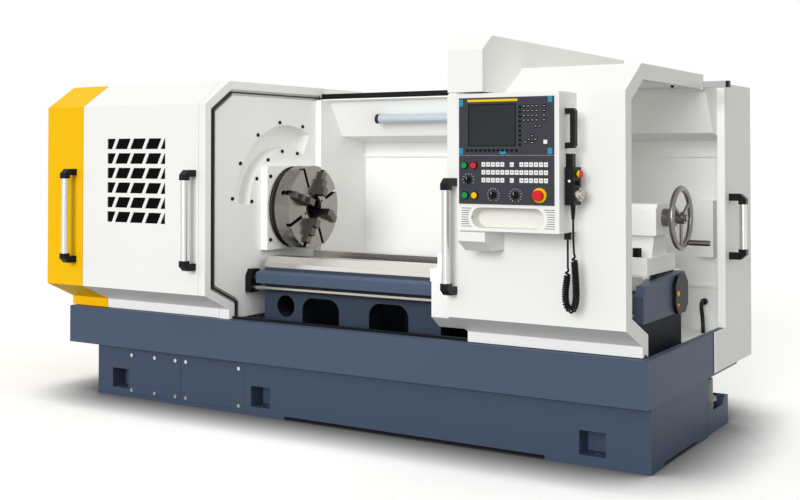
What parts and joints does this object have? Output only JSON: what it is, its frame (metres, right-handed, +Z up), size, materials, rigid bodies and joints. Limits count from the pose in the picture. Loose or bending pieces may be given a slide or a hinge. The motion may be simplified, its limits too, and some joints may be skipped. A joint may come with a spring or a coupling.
{
  "type": "cnc turning lathe",
  "caption": "Flat-bed turning lathe with a covered headstock, four-jaw chuck, tool turret, tailstock and a sliding hood that carries the control box",
  "frame": {"origin": "on the floor, below the spindle axis, in the plane of the headstock wall", "axes": "X along the spindle from the headstock to the tailstock, Y to the back, Z up"},
  "size_m": [3.243, 1.7545, 1.69],
  "materials": {
    "white_paint": "semi-gloss powder coat",
    "slate_paint": "semi-gloss paint",
    "yellow_paint": "semi-gloss powder coat with bare aluminium handle bar",
    "black_metal": "satin black",
    "steel": "ground",
    "chuck_iron": "machined",
    "jaw_steel": "hardened",
    "motor_paint": "satin",
    "rubber": "matt",
    "panel": "fine texture",
    "black_plastic": "satin",
    "green_plastic": "gloss",
    "red_plastic": "gloss",
    "yellow_plastic": "gloss",
    "lamp_white": "translucent tube",
    "light_grey": "satin",
    "black_screen": "perforated"
  },
  "bodies": {
    "frame": {"base": "slate_paint", "access_covers": "slate_paint", "fasteners": "steel", "chip_tray": "slate_paint", "door_rails": "black_metal", "bed": "slate_paint", "screw_cover": "slate_paint", "guard_rod": "steel", "screw_bearing": "black_metal", "axis_drive": "slate_paint", "drive_lid": "black_metal", "headstock": "white_paint", "spindle_bearings": "steel", "main_motor": "motor_paint", "drive_belt": "rubber", "headstock_wall": "white_paint", "wall_seal": "rubber", "rear_guard": "white_paint", "work_lamp": "lamp_white", "wall_fittings": "light_grey", "coolant_tank": "slate_paint", "coolant_pump": "steel"},
    "spindle": {"spindle": "steel", "chuck_plate": "chuck_iron", "chuck_body": "chuck_iron"},
    "headstock_door": {"headstock_door": "white_paint", "grille_screen": "black_screen"},
    "carriage": {"carriage": "white_paint", "apron": "white_paint"},
    "hood": {"hood": "white_paint", "overhead_arm": "white_paint", "control_box": "white_paint", "control_panel": "panel", "pendant": "black_plastic", "pendant_cord": "rubber", "pendant_coil": "rubber"},
    "jaw_1": {"jaw_1": "jaw_steel"},
    "jaw_2": {"jaw_2": "jaw_steel"},
    "jaw_3": {"jaw_3": "jaw_steel"},
    "jaw_4": {"jaw_4": "jaw_steel"},
    "motor_pulley": {"motor_pulley": "motor_paint"},
    "feed_screw": {"feed_screw": "steel"},
    "end_cover": {"end_cover": "yellow_paint"},
    "end_door": {"end_door": "white_paint"},
    "cross_slide": {"cross_slide": "white_paint"},
    "tool_turret": {"tool_turret": "jaw_steel"},
    "tailstock": {"tailstock": "white_paint"},
    "quill": {"quill": "steel"},
    "handwheel": {"handwheel": "jaw_steel"},
    "crank_grip": {"crank_grip": "jaw_steel"},
    "power_on": {"power_on": "green_plastic"},
    "power_off": {"power_off": "red_plastic"},
    "cycle_start": {"cycle_start": "green_plastic"},
    "feed_hold": {"feed_hold": "yellow_plastic"},
    "emergency_stop": {"emergency_stop": "red_plastic"},
    "mode_knob": {"mode_knob": "black_plastic"},
    "feed_knob": {"feed_knob": "black_plastic"},
    "speed_knob": {"speed_knob": "black_plastic"},
    "pendant_dial": {"pendant_dial": "steel"},
    "pendant_stop": {"pendant_stop": "red_plastic"}
  },
  "joints": [
    {"name": "spindle_turn", "type": "hinge", "parent": "frame", "child": "spindle", "pos_m": [0.1, 0, 0.962], "axis": [1, 0, 0], "continuous": true},
    {"name": "motor_turn", "type": "hinge", "parent": "frame", "child": "motor_pulley", "pos_m": [-0.75, 0.38, 0.56], "axis": [1, 0, 0], "continuous": true},
    {"name": "jaw_1_slide", "type": "slide", "parent": "spindle", "child": "jaw_1", "axis": [0, 0.3746, 0.9272], "range_m": [-0.03, 0.02]},
    {"name": "jaw_2_slide", "type": "slide", "parent": "spindle", "child": "jaw_2", "axis": [0, -0.9272, 0.3746], "range_m": [-0.03, 0.02]},
    {"name": "jaw_3_slide", "type": "slide", "parent": "spindle", "child": "jaw_3", "axis": [0, -0.3746, -0.9272], "range_m": [-0.03, 0.02]},
    {"name": "jaw_4_slide", "type": "slide", "parent": "spindle", "child": "jaw_4", "axis": [0, 0.9272, -0.3746], "range_m": [-0.03, 0.02]},
    {"name": "hood_slide", "type": "slide", "parent": "frame", "child": "hood", "axis": [1, 0, 0], "range_m": [-1.288, 0]},
    {"name": "headstock_door_hinge", "type": "hinge", "parent": "frame", "child": "headstock_door", "pos_m": [-0.808, -0.62, 1], "axis": [0, 0, 1], "range_deg": [-100, 0]},
    {"name": "end_cover_hinge", "type": "hinge", "parent": "frame", "child": "end_cover", "pos_m": [-0.808, 0.69, 1], "axis": [0, 0, 1], "range_deg": [-95, 0]},
    {"name": "end_door_hinge", "type": "hinge", "parent": "frame", "child": "end_door", "pos_m": [2.099, 0.939, 0.9], "axis": [0, 0, 1], "range_deg": [0, 100]},
    {"name": "carriage_slide", "type": "slide", "parent": "frame", "child": "carriage", "axis": [1, 0, 0], "range_m": [-0.79, 0]},
    {"name": "cross_slide_slide", "type": "slide", "parent": "carriage", "child": "cross_slide", "axis": [0, 1, 0], "range_m": [-0.06, 0.19]},
    {"name": "turret_index", "type": "hinge", "parent": "cross_slide", "child": "tool_turret", "pos_m": [1.29, -0.33, 0.9], "axis": [0, 0, 1], "continuous": true},
    {"name": "feed_screw_turn", "type": "hinge", "parent": "frame", "child": "feed_screw", "pos_m": [1, -0.283, 0.63], "axis": [1, 0, 0], "range_deg": [-28450, 0]},
    {"name": "tailstock_slide", "type": "slide", "parent": "frame", "child": "tailstock", "axis": [1, 0, 0], "range_m": [-0.2, 0]},
    {"name": "quill_slide", "type": "slide", "parent": "tailstock", "child": "quill", "axis": [1, 0, 0], "range_m": [-0.12, 0]},
    {"name": "handwheel_turn", "type": "hinge", "parent": "tailstock", "child": "handwheel", "pos_m": [2.065, 0, 0.962], "axis": [1, 0, 0], "range_deg": [-7201, 0]},
    {"name": "crank_grip_spin", "type": "hinge", "parent": "handwheel", "child": "crank_grip", "pos_m": [2.12, 0.06125, 0.85591], "axis": [1, 0, 0], "continuous": true},
    {"name": "power_on_push", "type": "slide", "parent": "hood", "child": "power_on", "axis": [0, 1, 0], "range_m": [0, 0.004], "stiffness_N_per_m": 900},
    {"name": "power_off_push", "type": "slide", "parent": "hood", "child": "power_off", "axis": [0, 1, 0], "range_m": [0, 0.004], "stiffness_N_per_m": 900},
    {"name": "cycle_start_push", "type": "slide", "parent": "hood", "child": "cycle_start", "axis": [0, 1, 0], "range_m": [0, 0.004], "stiffness_N_per_m": 900},
    {"name": "feed_hold_push", "type": "slide", "parent": "hood", "child": "feed_hold", "axis": [0, 1, 0], "range_m": [0, 0.004], "stiffness_N_per_m": 900},
    {"name": "emergency_stop_push", "type": "slide", "parent": "hood", "child": "emergency_stop", "axis": [0, 1, 0], "range_m": [0, 0.004], "stiffness_N_per_m": 1500},
    {"name": "mode_knob_turn", "type": "hinge", "parent": "hood", "child": "mode_knob", "pos_m": [1.486, -0.79, 1.13], "axis": [0, 1, 0], "range_deg": [-120, 120]},
    {"name": "feed_knob_turn", "type": "hinge", "parent": "hood", "child": "feed_knob", "pos_m": [1.593, -0.79, 1.073], "axis": [0, 1, 0], "range_deg": [-150, 150]},
    {"name": "speed_knob_turn", "type": "hinge", "parent": "hood", "child": "speed_knob", "pos_m": [1.687, -0.79, 1.073], "axis": [0, 1, 0], "range_deg": [-120, 120]},
    {"name": "pendant_dial_turn", "type": "hinge", "parent": "hood", "child": "pendant_dial", "pos_m": [1.903, -0.707, 1.078], "axis": [1, 0, 0], "continuous": true},
    {"name": "pendant_stop_push", "type": "slide", "parent": "hood", "child": "pendant_stop", "axis": [-1, 0, 0], "range_m": [0, 0.004], "stiffness_N_per_m": 900}
  ],
  "couplings": [
    {"joint": "motor_turn", "follows": "spindle_turn", "ratio": 2},
    {"joint": "feed_screw_turn", "follows": "carriage_slide", "rad_per_m": 628.32},
    {"joint": "handwheel_turn", "follows": "quill_slide", "rad_per_m": 1047.2}
  ]
}
